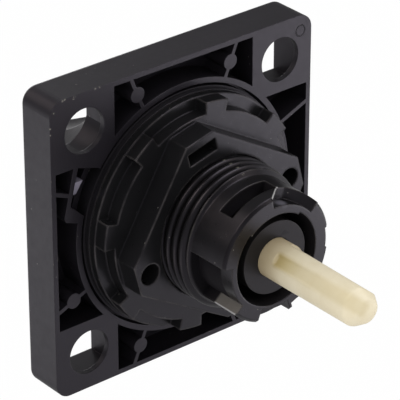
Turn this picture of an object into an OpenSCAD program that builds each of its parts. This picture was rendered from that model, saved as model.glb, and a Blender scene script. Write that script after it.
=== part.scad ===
// Operating head of a rotary isolator switch.
// The panel face lies in the XZ plane, the handle points to -Y and the spindle to +Y.

/* [Plate] */
// Side of the square front plate
plate_side = 48; // [46:0.5:60]
// Depth of the plate from its front face to its rear rim
plate_depth = 6.8; // [6.2:0.1:8]
// Radius of the plate's upright corner edges
plate_corner = 2.4; // [1.4:0.1:3.5]
// Thickness of the plate's outer walls
plate_wall = 0.8; // [0.6:0.1:1.4]
// Thickness of the plate's front skin
plate_skin = 1.3; // [1:0.1:1.8]
// Radius along the plate's front edges
plate_edge = 0.8; // [0.3:0.1:1]
// Depth of the sunk field in the plate's front
field_depth = 0.8; // [0.3:0.1:1]
// Width of the raised border round the sunk field
border_w = 1.3; // [1:0.1:2]

/* [Corner holes] */
// Distance between neighbouring corner holes
hole_pitch = 36; // [35:0.5:46]
// Diameter of a corner hole
hole_d = 7; // [4:0.1:7.4]
// Thickness of the corner pad around a hole
pad_floor = 0.9; // [0.7:0.1:1.6]
// Distance from the hole axis to the inner edge of the corner pad
pad_reach = 5.3; // [5.2:0.1:5.8]
// Distance from the hole axis to the inner sides of the front pocket
pocket_in = 4.9; // [4.2:0.1:5]
// Distance from the hole axis to the outer sides of the front pocket
pocket_out = 4.1; // [3.8:0.1:4.6]
// Radius of the front pocket's round inner corner about the hole axis
pocket_arc = 5.1; // [5:0.1:5.2]

/* [Ribs] */
// Number of radial ribs
rib_count = 8; // [4:1:12]
// Thickness of a rib
rib_t = 0.6; // [0.4:0.1:1]
// Diameter of the ejector bosses on the ribs
boss_d = 2.4; // [1.6:0.1:3]
// Depth of the gap in the seat ring beside the latch
latch_open = 1.9; // [1:0.1:2]
// Slope of the latch's ramp in degrees
latch_slope = 28; // [10:1:40]

/* [Seat] */
// Inner radius of the round seat for the gasket
seat_r = 19; // [18.8:0.1:19.8]
// Wall of the seat ring
seat_wall = 0.9; // [0.6:0.1:1.2]
// Depth of the gasket seat
seat_depth = 2.2; // [1.6:0.1:2.4]
// Thickness of the web that carries the sleeve
web_t = 1.4; // [1:0.1:1.8]

/* [Sleeve] */
// Thread diameter of the neck
thread_d = 21.8; // [20:0.1:22.4]
// Length of the thread behind the panel face
thread_len = 13.2; // [11:0.1:16]
// Length of the chamfer that leads into the thread
lead_in = 0.75; // [0.4:0.05:1]
// Length of the neck behind the panel face
neck_len = 20.4; // [19:0.1:24]
// Diameter of the bayonet end
bayonet_d = 19.8; // [18.6:0.1:19.9]
// Chamfer round the end of the neck
end_chamfer = 0.4; // [0.2:0.05:0.6]
// Bore of the neck behind the journal
neck_bore = 14.6; // [14:0.1:15]
// Diameter of the sleeve flange
flange_d = 28; // [27:0.1:29]
// Thickness of the sleeve flange
flange_t = 1.2; // [0.8:0.1:1.6]
// Length of the front journal
journal_len = 7.3; // [6:0.1:9]
// Width of the two keys of the sleeve
key_w = 3; // [2:0.1:4]
// Height of the keys above the thread
key_h = 1; // [0.6:0.1:1.2]

/* [Nut] */
// Diameter of the nut flange
nut_flange_d = 36.4; // [34:0.1:37]
// Thickness of the nut flange
nut_flange_t = 1.25; // [1:0.05:2]
// Diameter of the drum between the teeth
nut_drum_d = 32.6; // [31.8:0.1:33.4]
// Height of the drum and the teeth above the flange
nut_drum_h = 2.25; // [1.5:0.05:3]
// Number of teeth
tooth_count = 8; // [6:1:12]
// Width of a tooth in degrees
tooth_angle = 13; // [8:1:18]
// Width of the square block
nut_square = 25.7; // [25:0.1:27]
// Width of the square block over its cut corners
nut_corners = 31.4; // [30:0.1:31.8]
// Height of the square block
nut_square_h = 3.8; // [3:0.1:5]
// Turn of the square block in degrees
nut_turn = 14.4; // [0:0.1:45]
// Diameter of the two pin holes
pin_hole_d = 3.3; // [2:0.1:3.4]
// Depth of the pin holes and slots
pin_hole_depth = 3; // [1.5:0.1:4]
// Distance of the pin holes from the axis
pin_hole_r = 13.4; // [13.2:0.1:13.6]
// Length of the two slots
slot_len = 5.1; // [3:0.1:6]
// Width of the two slots
slot_w = 2; // [1:0.1:2.2]

/* [Washer and gasket] */
// Diameter of the nut washer
washer_d = 36.6; // [35:0.1:37]
// Thickness of the nut washer
washer_t = 0.8; // [0.5:0.1:1.5]
// Play of the panel gasket all round in its seat
gasket_play = 0.4; // [0.2:0.05:1]

/* [Rotor] */
// Diameter of the rotor
rotor_d = 11.32; // [11:0.02:12]
// Depth of the rotor's end face inside the neck
rotor_inset = 0.5; // [0.2:0.1:1]
// Width of the square drive at the front
square_w = 7.4; // [6.6:0.1:7.6]
// Length of the square drive
square_len = 5.5; // [4.5:0.1:7]
// Cord of the O-ring
oring_cord = 1.36; // [1:0.02:1.6]
// Width of the O-ring groove
oring_groove = 1.9; // [1.7:0.1:2.2]
// Thickness of the thrust washer
thrust_t = 0.55; // [0.4:0.05:0.8]
// Height of the disc spring
spring_h = 0.6; // [0.5:0.05:0.8]
// Thickness of the retaining ring
ring_t = 0.8; // [0.6:0.05:1]
// Length of the rear bush
bush_len = 4; // [3:0.1:5]
// Depth of the rear bush inside the neck
bush_inset = 9.4; // [9:0.1:10]

/* [Spindle] */
// Diameter of the spindle
spindle_d = 6; // [5:0.1:6.4]
// Reach of the spindle behind the end of the neck
spindle_reach = 19.1; // [12:0.1:40]
// Depth of the spindle in the rotor
spindle_depth = 11.9; // [10:0.1:13]
// Length of the plain round base behind the rotor
spindle_base = 2.6; // [1:0.1:5]
// Depth of the two side flats at their start
flat_depth = 0.32; // [0.2:0.02:0.6]
// Slope of the side flats in degrees
flat_slope = 0.7; // [0:0.1:1.2]
// Width of the groove between the flats at its start
groove_start_w = 1.5; // [1:0.1:2.5]
// Width of the groove at its end near the tip
groove_end_w = 2.7; // [1.5:0.1:3]
// Depth of the groove
groove_depth = 0.35; // [0.2:0.05:0.6]
// Distance from the tip to the end of the groove
groove_stop = 2.2; // [2:0.1:5]
// Chamfer round the tip
tip_chamfer = 1.6; // [0.5:0.1:2]
// Half width of the small square end face
tip_half = 1.3; // [1:0.1:1.6]
// Diameter of the cross pin
pin_d = 1.5; // [1:0.1:2]
// Depth of the cross pin behind the rotor's end face
pin_depth = 6; // [5:0.1:7]

/* [Handle] */
// Diameter of the handle's base disc
handle_d = 34.4; // [34:0.1:35.4]
// Thickness of the handle's base disc
handle_disc = 1.7; // [1.2:0.1:2]
// Reach of the handle in front of the plate
handle_reach = 14.4; // [13.5:0.1:22]
// Diameter of the handle body at its front
handle_top_d = 23; // [20:0.1:30]
// Edge radius at the front of the handle
handle_round = 1.6; // [0.8:0.1:2]
// Width of the grip at its front, on the axis
grip_w = 12.6; // [10:0.1:15]
// Angle by which each side of the grip draws in towards its pointer end
grip_taper = 10; // [0:1:12]
// Radius of the finger scoops
scoop_r = 12; // [10:0.1:16]
// Height of the scoops above the base disc
scoop_floor = 1.4; // [1:0.1:2.5]
// Thickness of the handle wall under the screw
screw_floor = 1.45; // [1.2:0.05:2]
// Diameter of the handle screw
screw_d = 3; // [2.5:0.1:3.2]
// Length of the handle screw under its washer
screw_len = 8; // [6:0.1:8.5]
// Diameter of the screw head
head_d = 5.5; // [5:0.1:5.6]
// Height of the screw head
head_h = 2.4; // [1.8:0.1:3]
// Thickness of the spring washer under the head
lock_t = 0.8; // [0.5:0.05:1]
// Diameter of the cap over the screw
cap_d = 7.2; // [6.8:0.1:7.4]
// Thickness of the cap
cap_t = 2; // [1.2:0.1:2.5]
// Angle of the turn from off to on
turn_angle = 90; // [60:5:90]
// Width of the stop lug in degrees
lug_angle = 16; // [10:1:24]

/* [Seals] */
// Thickness of the seal under the sleeve flange
sleeve_seal_t = 0.5; // [0.3:0.05:0.8]
// Thickness of the seal under the handle
handle_seal_t = 0.6; // [0.4:0.05:0.8]

/* [Clearances] */
// Running clearance of turning fits on the radius
run_gap = 0.06; // [0.03:0.01:0.1]
// Clearance of fixed fits on the radius
fit_gap = 0.05; // [0.02:0.01:0.1]
// Clearance of the thread on the radius
thread_gap = 0.1; // [0.05:0.01:0.2]
// Clearance of loose rings around the thread
ring_gap = 0.3; // [0.2:0.05:0.5]
// Clearance between parts that pass each other
pass_gap = 0.4; // [0.3:0.05:0.6]

/* [Hidden] */
$fn = 96;
eps = 0.01;
lap = 0.3;
tooth_step = 0.1;
z_front = -plate_depth;
z_field = z_front + field_depth;
z_web = -seat_depth - web_t;
z_flange = z_web - sleeve_seal_t;
z_flange_front = z_flange - flange_t;
z_handle = z_flange_front - handle_seal_t;
z_lip = z_flange_front + journal_len;
z_rotor = neck_len - rotor_inset;
z_square = z_handle - square_len;
z_seat_screw = z_square - fit_gap - screw_floor;
z_head = z_seat_screw - lock_t;
z_top = z_front - handle_reach;
z_thrust = z_lip + fit_gap;
z_spring = z_thrust + thrust_t;
z_ring = z_spring + spring_h;
z_nut = washer_t;
z_drum = z_nut + nut_flange_t;
z_square_nut = z_drum + nut_drum_h;
z_nut_top = z_square_nut + nut_square_h;
z_oring = z_flange_front + journal_len / 2 - 0.9;
z_pin = z_rotor - pin_depth;
z_tip = neck_len + spindle_reach;
z_flat = z_rotor + spindle_base;
z_bush = neck_len - bush_inset - bush_len;
thread_r = thread_d / 2;
bayonet_r = bayonet_d / 2;
bore_r = neck_bore / 2;
bore_lip_r = bore_r - 0.35;
rotor_r = rotor_d / 2;
journal_r = rotor_r + run_gap;
spindle_r = spindle_d / 2;
seat_out = seat_r + seat_wall;
gasket_d = 2 * (seat_r - gasket_play);
latch_r = 22.4;
recess_r = handle_d / 2 + pass_gap;
key_r = thread_r + key_h;
lug_in = flange_d / 2 + pass_gap;
lug_out = recess_r - pass_gap - 0.6;
groove_r = journal_r - oring_cord - 0.04;
ring_groove_r = rotor_r - 0.8;
insert_r = screw_d / 2 + 0.8;
insert_len = screw_len - screw_floor + 0.5;
handle_len = z_handle - z_top;
lug_turn = 250;
boss_ribs = [1, 2, 4, 5, 6, 7];
latch_rib = 3;
latch_frame = [
  [-20.02, 12.9], [-20.93, 9.05], [-21.85, 5.3], [-21.6, 4.62], [-18.5, 3.45], [-18.2, 4.4],
  [-19.65, 5.86], [-20.74, 6.79], [-20.45, 8.02], [-19.89, 10.33], [-19.17, 12.9]
];
latch_wall = [[-19.6, 13], [-14.8, 13.1], [-14.8, 11.15], [-19.6, 12.65]];
latch_nose = [[-20.2, 10.3], [-18.3, 10.25], [-18.55, 6.9], [-20.5, 7]];
flat_turns = [51, 321];
groove_turn = 141;
tip_turn = 51;
tip_fall = 0.65;
pointer_len = 5;
pointer_w = 1.2;
pointer_depth = 0.5;

// Turns a piece from its working frame, axis along Z, into the shared frame
module place() {
  rotate([90, 0, 180]) children();
}

// Cylinder between two heights
module rod(r, z0, z1) {
  translate([0, 0, z0]) cylinder(r = r, h = z1 - z0);
}

// Flat ring between two heights
module ring(r_in, r_out, z0, z1) {
  difference() {
    rod(r_out, z0, z1);
    rod(r_in, z0 - 1, z1 + 1);
  }
}

// Part of a ring from one angle over a width in degrees
module sector(r_in, r_out, z0, z1, from, width) {
  rotate([0, 0, from])
    rotate_extrude(angle = width)
      translate([r_in, z0]) square([r_out - r_in, z1 - z0]);
}

// Square outline with round corners
module round_square(side, r) {
  square([side - 2 * r, side], center = true);
  square([side, side - 2 * r], center = true);
  for (sx = [-1, 1])
    for (sy = [-1, 1])
      translate([sx * (side / 2 - r), sy * (side / 2 - r)]) circle(r = r);
}

// Solid outline of the plate with rounded front edges
module plate_block() {
  straight = plate_side / 2 - plate_corner;
  difference() {
    translate([0, 0, z_front]) linear_extrude(plate_depth) round_square(plate_side, plate_corner);
    for (k = [0:3])
      rotate([0, 0, 90 * k]) {
        translate([plate_side / 2 - plate_edge, -straight, z_front])
          difference() {
            translate([0, 0, -1]) cube([plate_edge + 1, 2 * straight, plate_edge + 1]);
            translate([0, -1, plate_edge]) rotate([-90, 0, 0]) cylinder(r = plate_edge, h = 2 * straight + 2);
          }
        translate([straight, straight, z_front])
          rotate_extrude(angle = 90)
            difference() {
              translate([plate_corner - plate_edge, -1]) square([plate_edge + 1, plate_edge + 1]);
              translate([plate_corner - plate_edge, plate_edge]) circle(r = plate_edge);
            }
      }
  }
}

// Front pocket of a corner hole, in the upper right corner, with a round inner corner
module corner_pocket() {
  side = pocket_in + pocket_out;
  translate([hole_pitch / 2, hole_pitch / 2, 0]) {
    rod(hole_d / 2, -pad_floor - 1, 1);
    difference() {
      translate([-pocket_in, -pocket_in, z_front - 1]) cube([side, side, plate_depth + 1 - pad_floor]);
      difference() {
        translate([-pocket_in - 1, -pocket_in - 1, z_front - 2])
          cube([pocket_in + 1, pocket_in + 1, plate_depth + 3]);
        rod(pocket_arc, z_front - 3, 2);
      }
    }
  }
}

module plate_ribs() {
  intersection() {
    translate([0, 0, z_field + eps]) linear_extrude(-z_field - eps)
      square(plate_side - plate_wall, center = true);
    union() {
      for (i = [0:rib_count - 1])
        rotate([0, 0, (i + 0.5) * 360 / rib_count]) {
          translate([i == latch_rib ? latch_r : seat_r, -rib_t / 2, z_field + plate_skin / 2])
            cube([plate_side, rib_t, -z_field - plate_skin / 2]);
          if (len(search(i, boss_ribs)) > 0)
            translate([(seat_out + plate_side / 2) / 2 + 0.3, 0, 0])
              rod(boss_d / 2, z_field + plate_skin / 2, 0);
        }
    }
  }
}

// Latch beside the seat ring, at the rear's left: a frame of ribs round a ramp
module plate_latch() {
  z0 = z_field + plate_skin * 0.4;
  translate([0, 0, z0]) linear_extrude(-z0) polygon(latch_frame);
  translate([0, 0, z0 + 0.1]) linear_extrude(-z0 - 0.1) polygon(latch_wall);
  difference() {
    translate([0, 0, z0 + 0.2]) linear_extrude(-z0) polygon(latch_nose);
    translate([-24, 10.5, -0.1]) rotate([latch_slope, 0, 0]) translate([0, -9, 0]) cube([8, 12, 6]);
  }
}

// Seat ring, still solid inside, with the gap beside the latch
module seat_ring() {
  difference() {
    rod(seat_out, z_front, 0);
    sector(seat_r - lap, seat_out + lap, -latch_open, 1, 144, 21.8);
  }
}

module front_plate() {
  pad = plate_side / 2 - hole_pitch / 2 + pad_reach;
  color([0.2, 0.2, 0.21]) place() {
    difference() {
      union() {
        difference() {
          plate_block();
          translate([0, 0, z_field + plate_skin])
            linear_extrude(plate_depth) square(plate_side - 2 * plate_wall, center = true);
        }
        intersection() {
          plate_block();
          for (k = [0:3])
            rotate([0, 0, 90 * k])
              translate([plate_side / 2 - pad, plate_side / 2 - pad, z_front])
                cube([pad, pad, plate_depth]);
        }
        seat_ring();
        plate_ribs();
        plate_latch();
      }
      translate([0, 0, z_front - 1.2])
        linear_extrude(1.2 + field_depth) round_square(plate_side - 2 * border_w, 0.8);
      rod(seat_r, -seat_depth, 1);
      rod(recess_r, z_front - 1, z_web);
      rod(thread_r + thread_gap, z_front - 1, 1);
      for (k = [0, 1])
        rotate([0, 0, 180 * k])
          translate([0, -key_w / 2 - fit_gap, z_front - 1])
            cube([key_r + fit_gap, key_w + 2 * fit_gap, plate_depth]);
      for (k = [0:3])
        rotate([0, 0, 90 * k]) corner_pocket();
    }
    for (a = [lug_turn - 1 - lug_angle, lug_turn + turn_angle + lug_angle + 1])
      sector(lug_in, recess_r + eps, z_handle + pass_gap, z_web + eps, a, lug_angle);
  }
}

// Cut in the bayonet end, kept outside a floor radius
module bayonet_cut(floor_r, from, width, depth) {
  sector(floor_r, thread_r + 1, neck_len - depth, neck_len + 1, from, width);
}

module threaded_sleeve() {
  deep = 7;
  window_from = neck_len - 5;
  window_to = neck_len - 2.35;
  color([0.16, 0.16, 0.16]) place() {
    difference() {
      union() {
        rod(flange_d / 2, z_flange_front, z_flange);
        rod(thread_r, z_flange - lap, thread_len - lead_in);
        translate([0, 0, thread_len - lead_in]) cylinder(r1 = thread_r, r2 = bayonet_r, h = lead_in);
        rod(bayonet_r, thread_len, neck_len - end_chamfer);
        translate([0, 0, neck_len - end_chamfer])
          cylinder(r1 = bayonet_r, r2 = bayonet_r - end_chamfer, h = end_chamfer);
        for (k = [0, 1])
          rotate([0, 0, 180 * k])
            translate([0, -key_w / 2, z_flange - lap])
              cube([key_r, key_w, lap + web_t + sleeve_seal_t - 0.1]);
      }
      rod(journal_r, z_flange_front - 1, neck_len);
      rod(bore_r, z_lip, neck_len + 1);
      bayonet_cut(8.2, 171, 50, deep);
      bayonet_cut(7.8, 250, 36, deep * 0.5);
      bayonet_cut(8.8, 289, 38, deep * 0.4);
      bayonet_cut(9.25, -10, 21, deep * 0.35);
      sector(bore_r - 1, bayonet_r + 1, window_from, window_to, 79, 50);
      difference() {
        rotate([0, 0, 68])
          translate([bayonet_r, 0, neck_len])
            rotate([90, 0, 90])
              translate([0, 0, -4])
                linear_extrude(8)
                  polygon([[-4.8, 0.6], [-4.8, 0], [1.4, -2.8], [4.6, 0], [4.6, 0.6]]);
        rod(8.2, 0, neck_len + 2);
      }
    }
    sector(bore_lip_r, bore_r + lap, neck_len - 1.8, neck_len - 0.05, 55, 77);
  }
}

module lock_nut() {
  block_r = nut_corners / 2;
  color([0.17, 0.17, 0.17]) place() {
    difference() {
      union() {
        rod(nut_flange_d / 2, z_nut, z_drum);
        rod(nut_drum_d / 2, z_drum - lap, z_square_nut);
        for (i = [0:tooth_count - 1])
          sector(nut_drum_d / 2 - 1, nut_flange_d / 2 - tooth_step, z_drum - lap, z_square_nut,
            37 - tooth_angle / 2 + i * 360 / tooth_count, tooth_angle);
        rotate([0, 0, nut_turn - 45])
          translate([0, 0, z_square_nut - lap])
            linear_extrude(nut_square_h + lap)
              intersection() {
                square(nut_square, center = true);
                rotate(45) square(nut_corners, center = true);
              }
      }
      rod(thread_r + thread_gap, z_nut - 1, z_nut_top + 1);
      for (k = [0, 1])
        rotate([0, 0, nut_turn + 180 * k]) {
          translate([pin_hole_r, 0, 0]) rod(pin_hole_d / 2, z_nut_top - pin_hole_depth, z_nut_top + 1);
          rotate([0, 0, 90])
            translate([pin_hole_r - slot_w / 2, -slot_len / 2, z_nut_top - pin_hole_depth])
              cube([slot_w, slot_len, pin_hole_depth + 1]);
        }
    }
  }
}

module nut_washer() {
  color([0.2, 0.2, 0.2]) place()
    ring(thread_r + ring_gap, washer_d / 2, 0, washer_t);
}

module panel_gasket() {
  color([0.08, 0.08, 0.08]) place()
    ring(thread_r + ring_gap, gasket_d / 2, -seat_depth, 0);
}

// Outline of the handle body, turned about the axis
module handle_profile() {
  top_r = handle_top_d / 2;
  square([handle_d / 2, handle_disc]);
  polygon([
    [0, handle_disc - eps], [handle_d / 2 - 0.6, handle_disc - eps], [top_r, handle_len - handle_round],
    [top_r - handle_round, handle_len - handle_round], [top_r - handle_round, handle_len], [0, handle_len]
  ]);
  translate([top_r - handle_round, handle_len - handle_round]) circle(r = handle_round);
}

module handle() {
  socket = square_w + 2 * fit_gap;
  color([0.05, 0.05, 0.055]) place() {
    difference() {
      translate([0, 0, z_handle]) mirror([0, 0, 1]) {
        difference() {
          rotate_extrude() handle_profile();
          for (s = [-1, 1])
            rotate([0, 0, -s * grip_taper])
              translate([0, s * (grip_w / 2 + scoop_r), handle_disc + scoop_floor + scoop_r]) {
                rotate([0, 90, 0]) cylinder(r = scoop_r, h = 2 * handle_d, center = true);
                translate([0, 0, scoop_r]) cube([2 * handle_d, 2 * scoop_r, 2 * scoop_r], center = true);
              }
          translate([handle_top_d / 2 - pointer_len, -pointer_w / 2, handle_len - pointer_depth])
            cube([pointer_len + 1, pointer_w, pointer_depth + 1]);
        }
      }
      translate([-socket / 2, -socket / 2, z_square - fit_gap])
        cube([socket, socket, square_len + fit_gap + 1]);
      rod(screw_d / 2 + 0.2, z_top - 1, z_handle);
      rod(head_d / 2 + 0.3, z_top - 1, z_seat_screw);
      rod(cap_d / 2 + fit_gap, z_top - 1, z_top + cap_t + 0.1);
    }
    sector(lug_in, lug_out, z_handle - eps, z_web - pass_gap, lug_turn, lug_angle);
  }
}

module handle_cap() {
  color([0.05, 0.05, 0.055]) place()
    rod(cap_d / 2, z_top + 0.1, z_top + cap_t + 0.1);
}

module handle_screw() {
  color([0.7, 0.7, 0.7]) place()
    difference() {
      union() {
        rod(head_d / 2, z_head - head_h, z_head);
        rod(screw_d / 2 - fit_gap, z_head - eps, z_seat_screw + screw_len);
      }
      for (k = [0, 1])
        rotate([0, 0, 90 * k])
          translate([-head_d * 0.3, -0.35, z_head - head_h - 1])
            cube([head_d * 0.6, 0.7, 1 + head_h * 0.5]);
    }
}

module handle_washer() {
  color([0.6, 0.6, 0.6]) place()
    ring(screw_d / 2 + 0.1, head_d / 2 + 0.1, z_head, z_seat_screw);
}

module handle_seal() {
  color([0.08, 0.08, 0.08]) place()
    ring(rotor_r + 2, flange_d / 2 - 1.5, z_handle, z_flange_front);
}

module sleeve_seal() {
  color([0.08, 0.08, 0.08]) place()
    ring(key_r + fit_gap + 0.2, flange_d / 2, z_flange, z_web);
}

module drive_rotor() {
  color([0.3, 0.3, 0.31]) place()
    difference() {
      union() {
        translate([-square_w / 2, -square_w / 2, z_square]) cube([square_w, square_w, square_len + 1]);
        rod(rotor_r, z_handle + 0.3, z_rotor);
      }
      rod(spindle_r + fit_gap, z_rotor - spindle_depth, z_rotor + 1);
      rod(insert_r, z_square - 1, z_square + insert_len);
      ring(groove_r, rotor_r + 1, z_oring, z_oring + oring_groove);
      ring(ring_groove_r, rotor_r + 1, z_ring, z_ring + ring_t + fit_gap);
      translate([0, 0, z_pin]) rotate([0, 90, 0]) cylinder(r = pin_d / 2, h = rotor_d + 2, center = true);
    }
}

module rotor_insert() {
  color([0.75, 0.6, 0.3]) place()
    ring(screw_d / 2, insert_r, z_square, z_square + insert_len);
}

module rotor_seal() {
  color([0.08, 0.08, 0.08]) place()
    translate([0, 0, z_oring + oring_groove / 2])
      rotate_extrude()
        translate([groove_r + 0.01 + oring_cord / 2, 0]) circle(r = oring_cord / 2, $fn = 32);
}

module thrust_washer() {
  color([0.6, 0.6, 0.62]) place()
    ring(rotor_r + fit_gap, bore_r - ring_gap, z_thrust, z_spring);
}

module disc_spring() {
  color([0.6, 0.6, 0.62]) place()
    rotate_extrude()
      polygon([
        [rotor_r + fit_gap, z_spring], [rotor_r + fit_gap, z_spring + spring_h * 0.6],
        [bore_r - ring_gap, z_ring], [bore_r - ring_gap, z_ring - spring_h * 0.6]
      ]);
}

module retaining_ring() {
  color([0.6, 0.6, 0.62]) place()
    difference() {
      ring(ring_groove_r, bore_r - ring_gap, z_ring, z_ring + ring_t);
      translate([0, 0, z_ring - 1]) rotate([0, 0, 200]) translate([0, -1.5, 0]) cube([bore_r, 3, ring_t + 2]);
    }
}

module rotor_bush() {
  color([0.5, 0.5, 0.48]) place()
    ring(journal_r, bore_r - fit_gap, z_bush, z_bush + bush_len);
}

module spindle() {
  groove_len = z_tip - groove_stop - z_flat;
  color([0.88, 0.84, 0.7]) place()
    difference() {
      union() {
        rod(spindle_r, z_rotor - spindle_depth, z_tip - tip_chamfer);
        translate([0, 0, z_tip - tip_chamfer])
          cylinder(r1 = spindle_r, r2 = spindle_r - tip_chamfer, h = tip_chamfer);
      }
      for (a = flat_turns)
        rotate([0, 0, a])
          translate([spindle_r - flat_depth, -spindle_r - 1, z_flat])
            rotate([0, -flat_slope, 0]) cube([2, 2 * spindle_r + 2, spindle_reach]);
      rotate([0, 0, groove_turn])
        translate([spindle_r - groove_depth, 0, z_flat])
          rotate([90, 0, 90])
            linear_extrude(2)
              polygon([
                [-groove_start_w / 2, 0], [groove_start_w / 2, 0],
                [groove_end_w / 2, groove_len], [-groove_end_w / 2, groove_len]
              ]);
      for (k = [0:3])
        rotate([0, 0, tip_turn + 90 * k])
          translate([tip_half, spindle_r + 1, z_tip])
            rotate([90, 0, 0])
              linear_extrude(2 * spindle_r + 2) polygon([[-1, tip_fall], [4, tip_fall], [4, -4 * tip_fall]]);
      translate([0, 0, z_pin]) rotate([0, 90, 0]) cylinder(r = pin_d / 2, h = rotor_d + 2, center = true);
    }
}

module spindle_pin() {
  color([0.65, 0.65, 0.66]) place()
    translate([0, 0, z_pin]) rotate([0, 90, 0])
      cylinder(r = pin_d / 2, h = rotor_d - 0.2, center = true);
}

front_plate();
threaded_sleeve();
lock_nut();
nut_washer();
panel_gasket();
handle();
handle_cap();
handle_screw();
handle_washer();
handle_seal();
sleeve_seal();
drive_rotor();
rotor_insert();
rotor_seal();
thrust_washer();
disc_spring();
retaining_ring();
rotor_bush();
spindle();
spindle_pin();
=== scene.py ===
"""Looks of a rotary isolator's operating head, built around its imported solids."""

import math

import bpy
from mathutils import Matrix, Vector


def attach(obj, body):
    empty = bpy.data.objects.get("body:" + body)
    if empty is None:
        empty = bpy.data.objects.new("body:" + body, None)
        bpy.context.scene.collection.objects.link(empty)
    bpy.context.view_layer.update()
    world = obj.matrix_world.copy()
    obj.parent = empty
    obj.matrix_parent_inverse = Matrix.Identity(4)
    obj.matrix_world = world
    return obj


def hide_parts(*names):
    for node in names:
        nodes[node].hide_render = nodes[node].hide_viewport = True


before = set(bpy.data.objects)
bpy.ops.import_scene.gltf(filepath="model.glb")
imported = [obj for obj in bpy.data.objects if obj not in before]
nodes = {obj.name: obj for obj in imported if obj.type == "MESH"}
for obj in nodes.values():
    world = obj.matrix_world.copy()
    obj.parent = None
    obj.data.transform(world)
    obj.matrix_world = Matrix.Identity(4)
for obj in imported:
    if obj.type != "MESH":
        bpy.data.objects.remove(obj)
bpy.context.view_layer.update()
scene = bpy.context.scene

# Working frame of the pieces, in millimetres: x to the right and y up as seen from behind, z to the rear.
# The shared frame, in metres, has X to the left as seen from behind, Y to the rear and Z up.
MM = 0.001


def to_row(x, y, z):
    """A point of the working frame in the shared frame, in metres."""
    return Vector((-x, z, y)) * MM


def polar(r, angle, z):
    """A point at a radius, an angle in degrees and a height."""
    a = math.radians(angle)
    return to_row(r * math.cos(a), r * math.sin(a), z)


# Materials

NOISE_ROUGH = 0.55
NOISE_LOW = 0.35
NOISE_HIGH = 0.65
SPOT_CORE = 0.4


def linear(value):
    """One sRGB channel from 0 to 255 as a linear value."""
    c = value / 255.0
    return c / 12.92 if c <= 0.04045 else ((c + 0.055) / 1.055) ** 2.4


def rgba(red, green, blue):
    """A linear colour from three sRGB channels."""
    return (linear(red), linear(green), linear(blue), 1.0)


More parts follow.
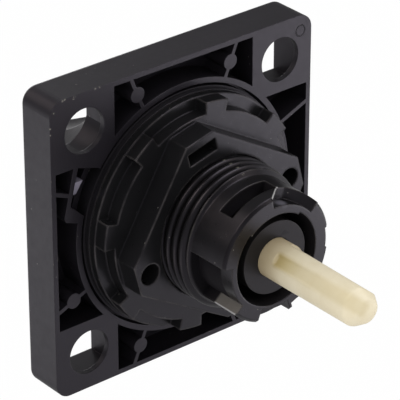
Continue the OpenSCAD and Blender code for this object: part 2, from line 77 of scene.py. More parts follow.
class Shader:
    """A principled material with short calls for its nodes and links."""

    def __init__(self, name):
        self.material = bpy.data.materials.new(name)
        self.material.use_nodes = True
        self.tree = self.material.node_tree
        self.bsdf = self.tree.nodes["Principled BSDF"]
        self.place = self.node("ShaderNodeTexCoord").outputs["Object"]
        axes = self.node("ShaderNodeSeparateXYZ")
        self.link(self.place, axes.inputs[0])
        self.axis = axes.outputs

    def node(self, kind, **settings):
        """A new node with some of its settings."""
        made = self.tree.nodes.new(kind)
        for key, value in settings.items():
            setattr(made, key, value)
        return made

    def link(self, source, target):
        self.tree.links.new(source, target)

    def put(self, socket, value):
        """Sets a socket to a fixed value or links an output to it."""
        if isinstance(value, bpy.types.NodeSocket):
            self.link(value, socket)
        else:
            socket.default_value = value

    def noise(self, scale, detail, stretch=(1, 1, 1)):
        """Noise with about scale features per metre, as a value near 0.5."""
        mapping = self.node("ShaderNodeMapping")
        mapping.inputs["Scale"].default_value = stretch
        self.link(self.place, mapping.inputs["Vector"])
        made = self.node("ShaderNodeTexNoise")
        made.inputs["Scale"].default_value = scale
        made.inputs["Detail"].default_value = detail
        made.inputs["Roughness"].default_value = NOISE_ROUGH
        self.link(mapping.outputs["Vector"], made.inputs["Vector"])
        return made.outputs["Fac"]

    def ramp(self, value, low, high, start=NOISE_LOW, end=NOISE_HIGH):
        """Colours that run from low to high while value runs from start to end."""
        made = self.node("ShaderNodeValToRGB")
        first, last = made.color_ramp.elements
        first.position, first.color = start, low
        last.position, last.color = end, high
        self.link(value, made.inputs["Fac"])
        return made.outputs["Color"]

    def span(self, value, low, high, to_low=0.0, to_high=1.0):
        """A value mapped from one span to another."""
        made = self.node("ShaderNodeMapRange")
        limits = {"From Min": low, "From Max": high, "To Min": to_low, "To Max": to_high}
        for name, limit in limits.items():
            made.inputs[name].default_value = limit
        self.link(value, made.inputs["Value"])
        return made.outputs["Result"]

    def step(self, length, start, end):
        """A length's way from 0 at start to 1 at end, both in millimetres."""
        return self.span(length, start * MM, end * MM)

    def band(self, length, low, high, soft=0.1):
        """One where a length lies between two limits in millimetres, with soft ends."""
        rise = self.step(length, low - soft, low + soft)
        return self.product(rise, self.step(length, high + soft, high - soft))

    def mix(self, factor, a, b):
        """Colour a where factor is 0 and b where it is 1."""
        made = self.node("ShaderNodeMix", data_type="RGBA")
        self.link(factor, made.inputs["Factor"])
        self.put(made.inputs[6], a)
        self.put(made.inputs[7], b)
        return made.outputs[2]

    def shaded(self, a, b):
        """Colour a multiplied by colour b."""
        made = self.node("ShaderNodeMix", data_type="RGBA", blend_type="MULTIPLY")
        made.inputs["Factor"].default_value = 1.0
        self.put(made.inputs[6], a)
        self.put(made.inputs[7], b)
        return made.outputs[2]

    def blend(self, factor, a, b):
        """Value a where factor is 0 and b where it is 1."""
        made = self.node("ShaderNodeMix")
        self.put(made.inputs["Factor"], factor)
        self.put(made.inputs["A"], a)
        self.put(made.inputs["B"], b)
        return made.outputs["Result"]

    def combine(self, operation, a, b):
        """Two values put together by a math operation."""
        made = self.node("ShaderNodeMath", operation=operation)
        self.put(made.inputs[0], a)
        self.put(made.inputs[1], b)
        return made.outputs[0]

    def product(self, *values):
        """All the values multiplied together."""
        result = values[0]
        for value in values[1:]:
            result = self.combine("MULTIPLY", result, value)
        return result

    def size(self, value):
        """A value without its sign."""
        return self.combine("ABSOLUTE", value, 0.0)

    def along(self, direction):
        """How far the place lies along a direction of the shared frame, in metres."""
        made = self.node("ShaderNodeVectorMath", operation="DOT_PRODUCT")
        made.inputs[1].default_value = direction
        self.link(self.place, made.inputs[0])
        return made.outputs["Value"]

    def far(self, x, y, z):
        """Distance from a point of the working frame, in metres."""
        made = self.node("ShaderNodeVectorMath", operation="DISTANCE")
        made.inputs[1].default_value = to_row(x, y, z)
        self.link(self.place, made.inputs[0])
        return made.outputs["Value"]

    def from_axis(self):
        """Distance from the axis that everything turns on, in metres."""
        squares = [self.product(self.axis[name], self.axis[name]) for name in ("X", "Z")]
        return self.combine("POWER", self.combine("ADD", *squares), 0.5)

    def spot(self, x, y, z, radius):
        """One round a point of the working frame, fading to nothing at a radius in millimetres."""
        return self.step(self.far(x, y, z), radius, SPOT_CORE * radius)

    def specks(self, scale, radius):
        """Sparse round specks of a radius in millimetres, about one in each cell of a scale."""
        made = self.node("ShaderNodeTexVoronoi")
        made.inputs["Scale"].default_value = scale
        self.link(self.place, made.inputs["Vector"])
        reach = radius * scale
        return self.step(made.outputs["Distance"], reach, SPOT_CORE * reach)

    def soft_edges(self, radius):
        """Normals that round every edge by a radius in millimetres, and a strip along outer edges for wear
        and a painted highlight.
        """
        rounded = self.node("ShaderNodeBevel", samples=6)
        rounded.inputs["Radius"].default_value = radius * MM
        depth = self.node("ShaderNodeAmbientOcclusion", samples=8, inside=True, only_local=True)
        depth.inputs["Distance"].default_value = radius * MM
        return rounded.outputs["Normal"], self.span(depth.outputs["AO"], 0.9, 0.5)

    def bump(self, height, strength, distance, normal=None):
        """Normals raised by a height, over a distance in millimetres."""
        made = self.node("ShaderNodeBump")
        made.inputs["Strength"].default_value = strength
        made.inputs["Distance"].default_value = distance * MM
        self.link(height, made.inputs["Height"])
        if normal is not None:
            self.link(normal, made.inputs["Normal"])
        return made.outputs["Normal"]


# Moulded plastic: scales are features per metre, lengths are millimetres
COOL = (0.9, 0.82, 1.0, 1.0)
PLAIN = (1.0, 1.0, 1.0, 1.0)
DUST = rgba(150, 146, 140)
CHIP = rgba(122, 119, 110)
BLOTCH_SCALE = 140
GRAIN_SCALE = 5200
GRAIN_HEIGHT = 0.03
WEAR_AND_HIGHLIGHT_SCALE = 300
LEAST_WEAR_AND_HIGHLIGHT = 0.12
DUST_SCALE = 520
DUST_R = 0.09
RAGGED_SCALE = 3400
DULL_SCALE = 900
DULL_SPREAD = 0.03
EDGE_POLISH = 0.7


def moulded(name, dark, light, rough, edge_wear_and_highlight, edge_radius=0.12, grain=GRAIN_SCALE, specular=0.5,
            depth=0.25, chips=(), dusty=False):
    """Moulded plastic: slow blotches, a fine grain, rounded shiny edges lightened in colour partly as wear
    and partly as a painted highlight, some dust and chips.
    """
    s = Shader(name)
    normal, edge = s.soft_edges(edge_radius)
    s.edge = s.product(edge, s.span(s.noise(WEAR_AND_HIGHLIGHT_SCALE, 3.0), 0.38, 0.62, LEAST_WEAR_AND_HIGHLIGHT, 1.0))
    # Outer edges are lightened in colour, partly as wear and partly as a painted highlight, broken up by
    # noise.
    s.base = s.mix(s.edge, s.ramp(s.noise(BLOTCH_SCALE, 5.0), dark, light), edge_wear_and_highlight)
    if dusty:
        s.base = s.mix(s.specks(DUST_SCALE, DUST_R), s.base, DUST)
    if chips:
        ragged = s.span(s.noise(RAGGED_SCALE, 2.0), 0.4, 0.56)
        for chip in chips:
            s.base = s.mix(s.product(s.spot(*chip), ragged), s.base, CHIP)
    dull = s.span(s.noise(DULL_SCALE, 4.0), 0.3, 0.7, rough - DULL_SPREAD, rough + DULL_SPREAD)
    s.rough = s.blend(s.edge, dull, EDGE_POLISH * rough)
    s.normal = s.bump(s.noise(grain, 3.0), depth, GRAIN_HEIGHT, normal)
    s.put(s.bsdf.inputs["Base Color"], s.base)
    s.put(s.bsdf.inputs["Roughness"], s.rough)
    s.put(s.bsdf.inputs["Normal"], s.normal)
    s.bsdf.inputs["Specular IOR Level"].default_value = specular
    s.bsdf.inputs["Specular Tint"].default_value = COOL
    return s


# Marks on the plate: chips are (x, y, z, radius), the latch face, painted pale where light falls on it, is
# given by limits in the shared frame
PLATE_CHIPS = (
    (-21.7, 23.85, 0.0, 0.28), (-21.3, 23.9, 0.0, 0.22), (-19.6, 23.8, 0.0, 0.28), (-19.8, 23.5, 0.0, 0.2),
    (-16.0, 23.9, 0.0, 0.24), (-15.2, 23.9, 0.0, 0.22), (-23.2, 22.4, 0.0, 0.22), (-23.9, 20.2, 0.0, 0.2),
    (-23.9, 19.2, 0.0, 0.18), (-17.3, 24.0, -2.6, 0.2),
)
NICK_SCALE = 700
NICK_COVER = 0.8
PLATE_RIM = (22.6, 23.2)
PLATE_REAR = (-0.6, -0.2)
LATCH_X = (18.4, 20.4)
LATCH_Y = (-1.7, -0.15)
LATCH_Z = (7.4, 10.3)
LATCH_LIGHT = rgba(140, 135, 150)
EJECTOR = (21.9, 21.5, 0.0)
EJECTOR_R = 0.85
EJECTOR_LINE = (0.12, 0.04)
EJECTOR_SHADE = rgba(8, 8, 9)
EJECTOR_HEIGHT = 0.2


def plate_plastic(name):
    """The plate's plastic, with pale nicks on its rim, an ejector's ring with its groove painted dark as
    shade, and painted light on the latch face.
    """
    s = moulded(name, rgba(25, 23, 27), rgba(29, 27, 31), 0.42, rgba(42, 40, 44), specular=0.36,
                chips=PLATE_CHIPS, dusty=True)
    out = s.combine("MAXIMUM", s.size(s.axis["X"]), s.size(s.axis["Z"]))
    torn = s.span(s.noise(NICK_SCALE, 2.0), 0.6, 0.66, 0.0, NICK_COVER)
    nick = s.product(s.edge, s.step(out, *PLATE_RIM), torn, s.step(s.axis["Y"], *PLATE_REAR))
    base = s.mix(nick, s.base, CHIP)
    # Painted light: the latch face is painted pale where light falls on it.
    latch = s.product(s.band(s.axis["X"], *LATCH_X), s.band(s.axis["Z"], *LATCH_Z),
                      s.band(s.axis["Y"], *LATCH_Y, 0.05))
    base = s.mix(latch, base, LATCH_LIGHT)
    # Painted shade: a thin dark ring painted in the ejector mark's groove.
    off = s.size(s.combine("SUBTRACT", s.far(*EJECTOR), EJECTOR_R * MM))
    line = s.step(off, *EJECTOR_LINE)
    s.put(s.bsdf.inputs["Base Color"], s.mix(line, base, EJECTOR_SHADE))
    s.put(s.bsdf.inputs["Normal"], s.bump(line, 1.0, EJECTOR_HEIGHT, s.normal))
    return s


# Marks on the neck, chips and painted light and shade: pairs are where a mask starts and is full, or the
# limits of a band
SLEEVE_CHIPS = (
    (0.1, 10.85, 8.63, 0.26), (0.1, 10.85, 10.13, 0.3), (0.1, 10.85, 11.63, 0.28), (0.1, 10.4, 12.9, 0.28),
    (-4.6, 5.2, 20.35, 0.24),
)
MATT = 0.85
BORE_IN = (7.6, 7.4)
BORE_BELOW = (20.3, 20.0)
DEEP_IN = (9.8, 9.6)
DEEP_BELOW = (18.2, 17.8)
DEEP_SHADE = rgba(4, 4, 4)
WALL_ACROSS = (0.656, 0.0, 0.755)
WALL_OUTWARD = (0.755, 0.0, -0.656)
WALL_HALF = 0.1
WALL_R = (8.1, 10.2)
WALL_Y = (15.7, 20.3)
WALL_LIT = rgba(98, 94, 88)
WALL_LIP = (9.7, 9.8)
RIM_R = (9.65, 10.2)
RIM_Y = (19.95, 20.6)
RIM_ABOVE = (2.0, 3.0)
RIM_DARK_REFLECTION = rgba(12, 11, 9)
THIN = 0.05
RAMP_SHEEN = (1.4, 8.1, 19.4, 1.2)
RAMP_HIGHLIGHT = rgba(96, 94, 102)
GLINT = rgba(180, 178, 178)
GLINT_COUNT = 15
GLINT_R = 0.2
GLINT_RING = 9.9
GLINT_ANGLE = 95
GLINT_SWEEP = 17
GLINT_TOP = 20.3
GLINT_FALL = 2.4


def sleeve_plastic(name):
    """The neck's plastic: matt in the bore, painted shade deep in its openings, painted light on a channel
    wall, a painted dark reflection on its rim, and painted sheen and glints at the ramped notch.
    """
    s = moulded(name, rgba(15, 15, 15), rgba(19, 18, 18), 0.3, rgba(56, 54, 51), 0.3, specular=0.36,
                depth=0.1, chips=SLEEVE_CHIPS, dusty=True)
    around = s.from_axis()
    height = s.axis["Y"]
    bore = s.product(s.step(around, *BORE_IN), s.step(height, *BORE_BELOW))
    deep = s.product(s.step(around, *DEEP_IN), s.step(height, *DEEP_BELOW))
    s.put(s.bsdf.inputs["Roughness"], s.blend(deep, s.blend(bore, s.rough, MATT), MATT))
    # Painted shade: deep in the window and the channel the plastic is painted near black.
    base = s.mix(deep, s.base, DEEP_SHADE)
    # Painted light: the channel wall that faces the light is painted pale, with a painted glint along its
    # outer lip.
    on_wall = s.band(s.along(WALL_ACROSS), -WALL_HALF, WALL_HALF, THIN)
    outward = s.along(WALL_OUTWARD)
    lit_wall = s.product(on_wall, s.band(outward, *WALL_R), s.band(height, *WALL_Y, 0.2))
    base = s.mix(lit_wall, base, WALL_LIT)
    base = s.mix(s.product(lit_wall, s.step(outward, *WALL_LIP)), base, GLINT)
    # Painted reflection: the top of the end's rim chamfer is painted dark.
    rim = s.product(s.band(around, *RIM_R, THIN), s.band(height, *RIM_Y, THIN),
                    s.step(s.axis["Z"], *RIM_ABOVE))
    base = s.mix(rim, base, RIM_DARK_REFLECTION)
    # Painted sheen on the ramped notch's floor, then painted glints along its edge.
    base = s.mix(s.spot(*RAMP_SHEEN), base, RAMP_HIGHLIGHT)
    for i in range(GLINT_COUNT):
        part = i / (GLINT_COUNT - 1)
        turn = math.radians(GLINT_ANGLE - GLINT_SWEEP * part)
        x = GLINT_RING * math.cos(turn)
        y = GLINT_RING * math.sin(turn)
        base = s.mix(s.spot(x, y, GLINT_TOP - GLINT_FALL * part, GLINT_R), base, GLINT)
    s.put(s.bsdf.inputs["Base Color"], base)
    return s


# Pointer mark on the rotor's end: a small triangle
MARK_X = -1.8
MARK_SLOPE = 0.8
MARK_TOP = (3.9, 3.7)
MARK_FOOT = (2.9, 3.1)
MARK_DARK = rgba(4, 4, 4)


def rotor_plastic(name):
    """The rotor's plastic, with a small dark pointer mark on its end."""
    s = moulded(name, rgba(28, 27, 26), rgba(32, 31, 30), 0.45, rgba(46, 44, 43), specular=0.24)
    slope = s.combine("MULTIPLY", s.size(s.combine("SUBTRACT", s.axis["X"], MARK_X * MM)), MARK_SLOPE)
    under = s.step(s.combine("ADD", s.axis["Z"], slope), *MARK_TOP)
    mark = s.product(under, s.step(s.axis["Z"], *MARK_FOOT))
    s.put(s.bsdf.inputs["Base Color"], s.mix(mark, s.base, MARK_DARK))
    return s


# Tones of the spindle: pairs are where a tone starts and is full, along the axis or from the groove
IVORY_SCALE = 420
IVORY_GRAIN = 2600
IVORY_DARK = rgba(240, 227, 194)
IVORY_LIGHT = rgba(246, 234, 204)
GROOVE_ACROSS = (0.629, 0.0, -0.777)
GROOVE_OUTWARD = (0.777, 0.0, 0.629)
GROOVE_IN = (1.4, 0.7)
GROOVE_SIDE = (0.0, 1.0)
GROOVE_BEGINS = (22.4, 23.1)
GROOVE_PALES = (23.5, 28.0)
GROOVE_LEFT = 0.35
GROOVE_TONE = rgba(210, 190, 132)
LIT_ALONG = (26.0, 38.0)
LESS_LIT = rgba(232, 232, 232)
SHADED_ALONG = (20.3, 25.8)
SHADE_TONE = rgba(216, 207, 194)


def ivory(name):
    """Pale moulded plastic: darker where the rotor shades it, deeper in tone along its groove."""
    s = Shader(name)
    height = s.axis["Y"]
    blotch = s.noise(IVORY_SCALE, 4.0)
    pale = s.ramp(blotch, IVORY_DARK, IVORY_LIGHT)
    inside = s.product(s.step(s.size(s.along(GROOVE_ACROSS)), *GROOVE_IN),
                       s.step(s.along(GROOVE_OUTWARD), *GROOVE_SIDE), s.step(height, *GROOVE_BEGINS))
    deep = s.product(inside, s.blend(s.step(height, *GROOVE_PALES), 1.0, GROOVE_LEFT))
    lit = s.ramp(s.step(height, *LIT_ALONG), LESS_LIT, PLAIN, 0.0, 1.0)
    toned = s.shaded(s.mix(deep, pale, GROOVE_TONE), lit)
    shade = s.ramp(s.step(height, *SHADED_ALONG), SHADE_TONE, PLAIN, 0.0, 1.0)
    shade.node.color_ramp.interpolation = "EASE"
    s.put(s.bsdf.inputs["Base Color"], s.shaded(toned, shade))
    s.put(s.bsdf.inputs["Roughness"], s.span(blotch, 0.3, 0.7, 0.38, 0.5))
    s.bsdf.inputs["Specular IOR Level"].default_value = 0.4
    s.put(s.bsdf.inputs["Normal"], s.bump(s.noise(IVORY_GRAIN, 3.0), 0.2, 0.04))
    return s


LINE_SCALE = 600
LINE_STRETCH = (1, 12, 1)
LINE_SPREAD = 0.08
LINE_PALER = 1.15


def metal(name, colour, rough):
    """Plated or turned metal with fine lines round the axis."""
    s = Shader(name)
    lines = s.noise(LINE_SCALE, 3.0, LINE_STRETCH)
    pale = tuple(min(1.0, c * LINE_PALER) for c in colour[:3]) + (1.0,)
    s.put(s.bsdf.inputs["Base Color"], s.ramp(lines, colour, pale))
    s.bsdf.inputs["Metallic"].default_value = 1.0
    s.put(s.bsdf.inputs["Roughness"], s.span(lines, 0.3, 0.7, rough - LINE_SPREAD, rough + LINE_SPREAD))
    s.put(s.bsdf.inputs["Normal"], s.bump(lines, 0.15, 0.02))
    return s


PLATE = plate_plastic("plate_plastic")
SLEEVE = sleeve_plastic("sleeve_plastic")
NUT = moulded("nut_plastic", rgba(22, 22, 23), rgba(25, 25, 26), 0.3, rgba(68, 65, 65), 0.4,
              specular=0.27, depth=0.1, dusty=True)
WASHER = moulded("washer_fibre", rgba(18, 18, 19), rgba(22, 21, 22), 0.5, rgba(30, 30, 30))
RUBBER = moulded("rubber", rgba(14, 14, 15), rgba(18, 18, 19), 0.65, rgba(22, 22, 23), grain=3200)
HANDLE = moulded("handle_plastic", rgba(22, 21, 23), rgba(25, 24, 26), 0.5, rgba(33, 32, 34), 0.3,
                 specular=0.3)
ROTOR = rotor_plastic("rotor_plastic")
BUSH = moulded("bush_plastic", rgba(96, 95, 90), rgba(106, 104, 98), 0.5, rgba(120, 118, 112))
IVORY = ivory("spindle_plastic")
STEEL = metal("plated_steel", rgba(186, 186, 188), 0.34)
BRASS = metal("turned_brass", rgba(214, 178, 110), 0.3)

FINISH = {
    "front_plate": PLATE,
    "threaded_sleeve": SLEEVE,
    "lock_nut": NUT,
    "nut_washer": WASHER,
    "panel_gasket": RUBBER,
    "handle": HANDLE,
    "handle_cap": HANDLE,
    "handle_screw": STEEL,
    "handle_washer": STEEL,
    "handle_seal": RUBBER,
    "sleeve_seal": RUBBER,
    "drive_rotor": ROTOR,
    "rotor_insert": BRASS,
    "rotor_seal": RUBBER,
    "thrust_washer": STEEL,
    "disc_spring": STEEL,
    "retaining_ring": STEEL,
    "rotor_bush": BUSH,
    "spindle": IVORY,
    "spindle_pin": STEEL,
}
for name, finish in FINISH.items():
    for material_slot in nodes[name].material_slots:
        material_slot.material = finish.material


# Pieces

SHARP_ANGLE = 32
EDGE_GAP = 0.15


def add_piece(name, vertices, faces, finish, body):
    """A smooth mesh piece that moves with a body and takes a finish."""
    mesh = bpy.data.meshes.new(name)
    mesh.from_pydata(vertices, [], faces)
    mesh.update()
    piece = bpy.data.objects.new(name, mesh)
    scene.collection.objects.link(piece)
    mesh.materials.append(finish.material)
    mesh.shade_smooth()
    mesh.set_sharp_from_angle(angle=math.radians(SHARP_ANGLE))
    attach(piece, body)
    return piece


def lathe(profile, angles):
    """Vertices and faces of a closed ring, from a profile of (radius, height) points at each angle."""
    rows = [profile(angle) for angle in angles]
    count = len(rows[0])
    vertices = [polar(r, angle, z) for angle, row in zip(angles, rows) for r, z in row]
    faces = []
    for i in range(len(angles)):
        j = (i + 1) % len(angles)
        for k in range(count):
            m = (k + 1) % count
            faces.append((i * count + k, i * count + m, j * count + m, j * count + k))
    return vertices, faces


def split_angles(count, edges):
    """Even angles round the axis, with a close pair at each edge so that a step there stays sharp."""
    even = [360.0 * i / count for i in range(count)]
    pairs = [(edge + side) % 360 for edge in edges for side in (-EDGE_GAP, EDGE_GAP)]
    keep = [a for a in even if all(abs((a - p + 180) % 360 - 180) > EDGE_GAP for p in pairs)]
    return sorted(keep + pairs)


def within(angle, start, width):
    """Whether an angle lies in the width that follows a start, all in degrees."""
    return (angle - start) % 360 <= width


# Threaded sleeve with its helical thread and notched bayonet end
THREAD_R = 10.9
THREAD_DEPTH = 0.85
PITCH = 1.5
THREAD_FROM = 0.2
THREAD_TO = 13.2
RUN_OUT = 0.7
LEAD_IN = 0.75
COLLAR_GAP = 0.3
CREST_ANGLE = 139.0
CREST_Z = 8.83
CREST_HALF = 0.46
CREST_ROUND = 1.7
STEPS_PER_TURN = 24
NECK_END = 20.4
BAYONET_R = 9.9
BAYONET_FROM = THREAD_TO + 0.05
BORE_R = 7.3
JOURNAL_R = 5.72
FLANGE_R = 14.0
FLANGE_FRONT = -5.3
FLANGE_REAR = -4.1
LIP = 2.0
FLOOR_R = 8.2
END_CHAMFER = 0.4
STEP = 0.02

# Openings as a start and a width in degrees, the ramp as its start, its deepest angle and its end
WINDOW = (79, 50)
WINDOW_Z = (15.4, 18.05)
CHANNEL = (171, 50)
RAMP = (40, 76, 95)
RAMP_DEPTH = 2.8
LOWER = (250, 36)
CORNER = (289, 38)
SIDE = (350, 21)
BORE_LIP = (55, 77)
BORE_LIP_R = 6.95
BORE_LIP_Z = 18.6

# Each plain notch with its depth from the end and the radius of its floor
NOTCHES = ((LOWER, 3.5, 7.8), (CORNER, 2.8, 8.8), (SIDE, 2.45, 9.25))

SLEEVE_SIDES = 180

# The two walls between the window and the bore, as faces counted back from the end of a section
WINDOW_WALLS = (-13, -4)
WINDOW_TRIM = 0.2


def thread_radius(angle, z):
    """Radius of the thread at an angle and height: rounded crests, narrow roots and a lead-in."""
    turn = (z - CREST_Z) / PITCH - (angle - CREST_ANGLE) / 360.0
    away = abs((turn + 0.5) % 1.0 - 0.5)
    rise = math.cos(math.pi * min(1.0, away / CREST_HALF) ** CREST_ROUND / 2.0)
    fade = min(1.0, max(0.0, (z - THREAD_FROM) / RUN_OUT))
    lead = THREAD_R - max(0.0, z - THREAD_TO + LEAD_IN) * (THREAD_R - BAYONET_R) / LEAD_IN
    return min(lead, THREAD_R - THREAD_DEPTH + THREAD_DEPTH * rise * fade)


def notch_floor(angle):
    """Height where the end face's notch starts at an angle, and the radius of its floor."""
    start, deepest, end = RAMP
    if within(angle, start, deepest - start):
        return NECK_END - RAMP_DEPTH * ((angle - start) / (deepest - start)), FLOOR_R
    if within(angle, deepest, end - deepest):
        return NECK_END - RAMP_DEPTH * ((end - angle) / (end - deepest)), FLOOR_R
    for notch, depth, floor_r in NOTCHES:
        if within(angle, *notch):
            return NECK_END - depth, floor_r
    return NECK_END - END_CHAMFER, BAYONET_R


def sleeve_profile(angle):
    """The neck's section at an angle: flange, thread, bayonet end and bore."""
    points = [
        (JOURNAL_R, FLANGE_FRONT), (FLANGE_R, FLANGE_FRONT), (FLANGE_R, FLANGE_REAR),
        (THREAD_R, FLANGE_REAR), (THREAD_R, THREAD_FROM - COLLAR_GAP),
    ]
    steps = round((THREAD_TO - THREAD_FROM) / (PITCH / STEPS_PER_TURN))
    for i in range(steps + 1):
        z = THREAD_FROM + (THREAD_TO - THREAD_FROM) * i / steps
        points.append((thread_radius(angle, z), z))
    start, floor_r = notch_floor(angle)
    low, high = WINDOW_Z
    window_r = BORE_R if within(angle, *WINDOW) else BAYONET_R
    window_end = min(high, start)
    notch_from = max(start, high + 2 * STEP)
    end_r = min(floor_r, BAYONET_R - END_CHAMFER)
    outer = [
        (BAYONET_R, BAYONET_FROM), (BAYONET_R, low - STEP), (window_r, low), (window_r, window_end),
        (BAYONET_R, window_end + STEP), (BAYONET_R, notch_from), (floor_r, notch_from + STEP),
        (end_r, NECK_END),
    ]
    if within(angle, *CHANNEL):
        outer = [(FLOOR_R, z) for r, z in outer]
    lip_r = BORE_LIP_R if within(angle, *BORE_LIP) else BORE_R
    bore = [
        (lip_r, NECK_END), (lip_r, BORE_LIP_Z), (BORE_R, BORE_LIP_Z - STEP),
        (BORE_R, high), (BORE_R, low), (BORE_R, LIP), (JOURNAL_R, LIP),
    ]
    return points + outer + bore


sleeve_edges = list(RAMP)
for start, width in (WINDOW, CHANNEL, LOWER, CORNER, SIDE, BORE_LIP):
    sleeve_edges += [start, (start + width) % 360]
sleeve_angles = split_angles(SLEEVE_SIDES, sleeve_edges)
vertices, faces = lathe(sleeve_profile, sleeve_angles)
columns = len(faces) // len(sleeve_angles)


def closes_window(index):
    """Whether a face, by its number, would close the window that opens into the bore."""
    angle = sleeve_angles[index // columns]
    return index % columns - columns in WINDOW_WALLS and within(angle, WINDOW[0], WINDOW[1] - WINDOW_TRIM)


faces = [face for i, face in enumerate(faces) if not closes_window(i)]
sleeve = add_piece("sleeve_thread", vertices, faces, SLEEVE, "housing")
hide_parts("threaded_sleeve")


# Spindle with soft moulded edges
SPINDLE_R = 3.0
SPINDLE_FROM = 8.0
SPINDLE_TIP = 39.5
SPINDLE_SIDES = 120
ROUNDING = 0.012
ROUND_POWER = 40
BASE_END = 22.5
FACING = 0.3
FLATS = (51, 321)
FLAT_DEPTH = 0.32
FLAT_SLOPE = 0.0122
FLAT_BEFORE = 0.15
FLAT_AFTER = 0.25
GROOVE_TURN = 141
GROOVE_DEPTH = 0.35
GROOVE_RISE = 0.5
GROOVE_END = 37.3
GROOVE_FADE = 27.0
GROOVE_START_W = 1.5
GROOVE_END_W = 2.7
GROOVE_SOFT_IN = 0.3
GROOVE_SOFT_OUT = 0.2
TIP_FROM = 37.6
TIP_BLEND = 0.6
TIP_R = 1.75
TIP_EDGE = 0.2
TIP_EDGE_R = TIP_R + 0.1
TIP_EDGE_FALL = 0.35
FINE = 0.1
COARSE = 0.5


def ease(value, low, high):
    """A smooth step from 0 at low to 1 at high."""
    t = min(1.0, max(0.0, (value - low) / (high - low)))
    return t * t * (3.0 - 2.0 * t)


def soft_least(values):
    """The least of some radii, rounded where two of them meet."""
    return sum(v ** -ROUND_POWER for v in values) ** (-1.0 / ROUND_POWER)


def spindle_radius(angle, z):
    """Radius of the spindle at an angle and height, with its flats, groove and tapered tip."""
    limits = [SPINDLE_R + ROUNDING]
    for turn in FLATS:
        across = math.cos(math.radians(angle - turn))
        if across > FACING:
            depth = FLAT_DEPTH + (z - BASE_END) * FLAT_SLOPE
            depth *= ease(z, BASE_END - FLAT_BEFORE, BASE_END + FLAT_AFTER)
            limits.append((SPINDLE_R - depth) / across)
    if z > TIP_FROM - TIP_BLEND:
        limits.append(SPINDLE_R - (z - TIP_FROM) * (SPINDLE_R - TIP_R) / (SPINDLE_TIP - TIP_FROM))
    if z > SPINDLE_TIP - TIP_EDGE:
        fall = ease(z, SPINDLE_TIP - TIP_EDGE, SPINDLE_TIP + FINE / 2)
        limits.append(TIP_EDGE_R - TIP_EDGE_FALL * fall)
    r = min(SPINDLE_R, soft_least(limits))
    turned = math.radians(angle - GROOVE_TURN)
    if math.cos(turned) > FACING:
        along = (z - BASE_END) / (GROOVE_END - BASE_END)
        half = (GROOVE_START_W + (GROOVE_END_W - GROOVE_START_W) * along) / 2.0
        inside = 1.0 - ease(abs(r * math.sin(turned)), half - GROOVE_SOFT_IN, half + GROOVE_SOFT_OUT)
        inside *= ease(z, BASE_END, BASE_END + GROOVE_RISE) * (1.0 - ease(z, GROOVE_FADE, GROOVE_END))
        floor_r = (SPINDLE_R - GROOVE_DEPTH) / math.cos(turned)
        r += inside * min(0.0, floor_r - r)
    return r


def rod_mesh(radius, heights, angles):
    """Vertices and faces of a closed rod whose radius depends on angle and height."""
    count = len(angles)
    vertices = [polar(radius(angle, z), angle, z) for z in heights for angle in angles]
    vertices += [polar(0.0, 0.0, heights[0]), polar(0.0, 0.0, heights[-1])]
    last = len(vertices) - 1
    top = (len(heights) - 1) * count
    faces = []
    for i in range(count):
        j = (i + 1) % count
        for k in range(len(heights) - 1):
            row = k * count
            faces.append((row + i, row + j, row + count + j, row + count + i))
        faces.append((j, i, last - 1))
        faces.append((top + i, top + j, last))
    return vertices, faces


# Rows of the spindle: close together where its flats start and at its tip
heights = [SPINDLE_FROM, 15.0, 20.0, 21.0, 22.0]
heights += [BASE_END - 0.3 + FINE * i for i in range(15)]
heights += [24.0 + COARSE * i for i in range(24)]
heights += [36.0 + FINE * i for i in range(35)]
heights += [SPINDLE_TIP - FINE / 2, SPINDLE_TIP]
spindle_angles = [360.0 * i / SPINDLE_SIDES for i in range(SPINDLE_SIDES)]
vertices, faces = rod_mesh(spindle_radius, heights, spindle_angles)
spindle = add_piece("spindle_soft", vertices, faces, IVORY, "rotor")
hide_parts("spindle")


# Stage, light and camera

FLOOR_Z = -0.12
FLOOR_SIZE = 12
FLOOR_GREY = (0.9, 0.9, 0.9, 1.0)
FLOOR_GLOSS = 0.52
FLOOR_GLOW = 0.97


def background_seen(tree):
    """One where a ray comes from the camera or a reflection, and nothing for plain light."""
    path = tree.nodes.new("ShaderNodeLightPath")
    seen = path.outputs["Is Camera Ray"]
    for kind in ("Is Glossy Ray", "Is Transmission Ray"):
        either = tree.nodes.new("ShaderNodeMath")
        either.operation = "MAXIMUM"
        tree.links.new(seen, either.inputs[0])
        tree.links.new(path.outputs[kind], either.inputs[1])
        seen = either.outputs[0]
    return path, seen


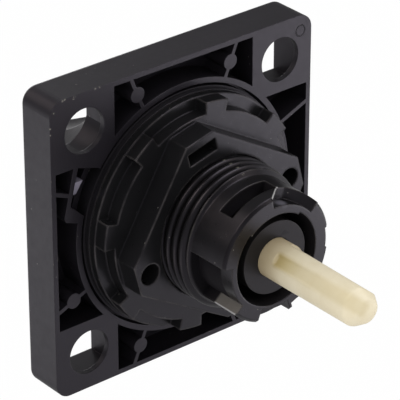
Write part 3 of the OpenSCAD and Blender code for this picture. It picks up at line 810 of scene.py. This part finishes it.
def floor_white(name):
    """A pale floor that shows white, with a small share of plain diffuse that keeps the shadow."""
    material = bpy.data.materials.new(name)
    material.use_nodes = True
    tree = material.node_tree
    tree.nodes.clear()
    out = tree.nodes.new("ShaderNodeOutputMaterial")
    diffuse = tree.nodes.new("ShaderNodeBsdfDiffuse")
    diffuse.inputs["Color"].default_value = FLOOR_GREY
    glow = tree.nodes.new("ShaderNodeEmission")
    path, seen = background_seen(tree)
    shown = tree.nodes.new("ShaderNodeMapRange")
    shown.inputs["To Min"].default_value = FLOOR_GLOSS
    tree.links.new(path.outputs["Is Camera Ray"], shown.inputs["Value"])
    tree.links.new(shown.outputs["Result"], glow.inputs["Strength"])
    scaled = tree.nodes.new("ShaderNodeMath")
    scaled.operation = "MULTIPLY"
    scaled.inputs[1].default_value = FLOOR_GLOW
    tree.links.new(seen, scaled.inputs[0])
    mix = tree.nodes.new("ShaderNodeMixShader")
    tree.links.new(scaled.outputs[0], mix.inputs["Fac"])
    tree.links.new(diffuse.outputs[0], mix.inputs[1])
    tree.links.new(glow.outputs[0], mix.inputs[2])
    tree.links.new(mix.outputs[0], out.inputs["Surface"])
    return material


bpy.ops.mesh.primitive_plane_add(size=FLOOR_SIZE, location=(0, 0, FLOOR_Z))
floor = bpy.context.object
floor.name = "floor"
floor.data.materials.append(floor_white("floor_white"))

# Room: white behind the object, dim in reflections and for plain light
ROOM_GLOSS = 0.22
ROOM_LIGHT = 0.95

world = bpy.data.worlds.new("studio")
scene.world = world
world.use_nodes = True
world.cycles.sampling_method = "NONE"
tree = world.node_tree
background = tree.nodes["Background"]
path = tree.nodes.new("ShaderNodeLightPath")
strength = tree.nodes.new("ShaderNodeMix")
tree.links.new(path.outputs["Is Glossy Ray"], strength.inputs["Factor"])
strength.inputs["A"].default_value = ROOM_LIGHT
strength.inputs["B"].default_value = ROOM_GLOSS
shown = tree.nodes.new("ShaderNodeMix")
tree.links.new(path.outputs["Is Camera Ray"], shown.inputs["Factor"])
tree.links.new(strength.outputs["Result"], shown.inputs["A"])
shown.inputs["B"].default_value = 1.0
background.inputs["Color"].default_value = PLAIN
tree.links.new(shown.outputs["Result"], background.inputs["Strength"])


def area_light(name, place, size, power, colour):
    """A round lamp aimed at the object, which only shows in reflections."""
    lamp = bpy.data.lights.new(name, "AREA")
    lamp.shape = "DISK"
    lamp.size = size
    lamp.energy = power
    lamp.color = colour
    lamp_object = bpy.data.objects.new(name, lamp)
    lamp_object.location = place
    lamp_object.visible_camera = False
    lamp_object.visible_diffuse = False
    lamp_object.rotation_euler = (Vector(CENTRE) - Vector(place)).to_track_quat("-Z", "Y").to_euler()
    scene.collection.objects.link(lamp_object)


# Lamps: name, place, size, power and colour
CENTRE = (0.0, 0.005, 0.0)
WARM = (1.0, 0.92, 0.8)
WHITE = (1.0, 1.0, 1.0)
LAMPS = (
    ("overhead", (-0.2804, 0.0801, 0.745), 0.6, 3.05, WHITE),
    ("left_above", (0.4009, -0.1604, 0.6735), 0.5, 2.3, WARM),
    ("left_front", (0.3828, -0.5423, 0.4466), 0.6, 0.75, WARM),
    ("right_above", (-0.4466, 0.3828, 0.5423), 0.5, 0.7, WARM),
    ("front_soft", (-0.24, -0.7, 0.1), 0.35, 1.3, WHITE),
    ("by_camera", (0.4466, 0.5423, 0.3828), 0.6, 0.25, WHITE),
    ("card_right", (-0.1208, 0.0999, -0.0322), 0.09, 0.045, WHITE),
    ("card_high_right", (-0.1474, 0.0573, 0.0246), 0.09, 0.013, WHITE),
    ("card_low_right", (-0.1116, 0.1356, -0.0957), 0.12, 0.03, WHITE),
    ("card_low_left", (0.1116, -0.1356, -0.0957), 0.12, 0.029, WHITE),
    ("card_left", (0.15, 0.065, -0.085), 0.1, 0.03, WARM),
)
for lamp_row in LAMPS:
    area_light(*lamp_row)

CAMERA_PLACE = Vector((0.23304, 0.28578, 0.20092))
CAMERA_FORWARD = Vector((-0.5595, -0.6779, -0.4769))
camera_data = bpy.data.cameras.new("camera")
camera_data.lens = 259.46
camera_data.sensor_width = 36.0
camera_data.clip_start = 0.01
camera = bpy.data.objects.new("camera", camera_data)
camera.location = CAMERA_PLACE
camera.rotation_euler = CAMERA_FORWARD.to_track_quat("-Z", "Y").to_euler()
scene.collection.objects.link(camera)
scene.camera = camera

scene.view_settings.view_transform = "Standard"
